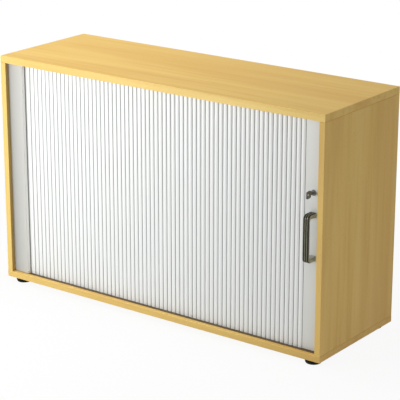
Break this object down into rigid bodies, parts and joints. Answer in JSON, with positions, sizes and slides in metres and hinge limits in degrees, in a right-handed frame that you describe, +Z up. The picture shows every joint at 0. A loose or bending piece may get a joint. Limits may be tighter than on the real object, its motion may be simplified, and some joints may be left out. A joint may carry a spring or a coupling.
{
  "type": "tambour door cabinet",
  "caption": "Low office cabinet with a sideways sliding slatted tambour door, bow handle, lock with key, inner shelves and low round feet.",
  "frame": {"origin": "on the floor, under the middle of the outline, handle and key included", "axes": "+X to the right along the width, +Y to the back, +Z up; the door faces -Y"},
  "size_m": [1.2, 0.4122, 0.748],
  "materials": {
    "board": "satin beech decor on board",
    "curtain": "satin silver grey",
    "track": "dark brown",
    "handle": "dark satin metal",
    "lock": "dark plated metal",
    "steel": "bright zinc",
    "rubber": "matt black",
    "foot": "black moulded",
    "dowel": "plain beech"
  },
  "bodies": {
    "carcass": {"top_panel": "board", "bottom_panel": "board", "left_side_panel": "board", "right_side_panel": "board", "back_panel": "board", "inner_back_panel": "board", "inner_left_wall": "board", "centre_partition": "board", "left_shelf": "board", "right_shelf": "board", "shelf_pin_left_bay_left_front": "steel", "shelf_pin_left_bay_left_rear": "steel", "shelf_pin_left_bay_right_front": "steel", "shelf_pin_left_bay_right_rear": "steel", "shelf_pin_right_bay_left_front": "steel", "shelf_pin_right_bay_left_rear": "steel", "shelf_pin_right_bay_right_front": "steel", "shelf_pin_right_bay_right_rear": "steel", "left_fascia": "curtain", "upper_track": "track", "lower_track": "track", "strike_plate": "steel", "open_stop": "rubber", "foot_front_left": "foot", "foot_front_right": "foot", "foot_rear_left": "foot", "foot_rear_right": "foot", "foot_screw_front_left": "steel", "foot_screw_front_right": "steel", "foot_screw_rear_left": "steel", "foot_screw_rear_right": "steel", "dowel_left_lower_front": "dowel", "dowel_left_lower_rear": "dowel", "dowel_left_upper_front": "dowel", "dowel_left_upper_rear": "dowel", "dowel_right_lower_front": "dowel", "dowel_right_lower_rear": "dowel", "dowel_right_upper_front": "dowel", "dowel_right_upper_rear": "dowel"},
    "door": {"curtain_section_1": "curtain", "curtain_section_2": "curtain", "curtain_section_3": "curtain", "curtain_section_4": "curtain", "curtain_section_5": "curtain", "curtain_tail_strip": "curtain", "leading_bar": "curtain", "lower_runner": "track", "upper_runner": "track", "handle_bow": "handle", "handle_screw_lower": "steel", "handle_screw_upper": "steel", "lock_sleeve": "lock", "lock_case": "steel"},
    "lock_cylinder": {"lock_cylinder": "lock"},
    "lock_bolt": {"lock_bolt": "steel"},
    "key": {"key": "lock"}
  },
  "joints": [
    {"name": "door_slide", "type": "slide", "parent": "carcass", "child": "door", "axis": [-1, 0, 0], "range_m": [0, 1.0274], "deforming": ["curtain_section_1", "curtain_section_2", "curtain_section_3", "curtain_section_4", "curtain_section_5", "curtain_tail_strip"]},
    {"name": "lock_turn", "type": "hinge", "parent": "door", "child": "lock_cylinder", "pos_m": [0.55163, -0.17112, 0.511], "axis": [0, 1, 0], "range_deg": [0, 90]},
    {"name": "bolt_slide", "type": "slide", "parent": "door", "child": "lock_bolt", "axis": [1, 0, 0], "range_m": [0, 0.008]},
    {"name": "key_pull", "type": "slide", "parent": "lock_cylinder", "child": "key", "axis": [0, -1, 0], "range_m": [0, 0.012]}
  ],
  "couplings": [
    {"joint": "lock_turn", "follows": "bolt_slide", "rad_per_m": 196.3}
  ]
}
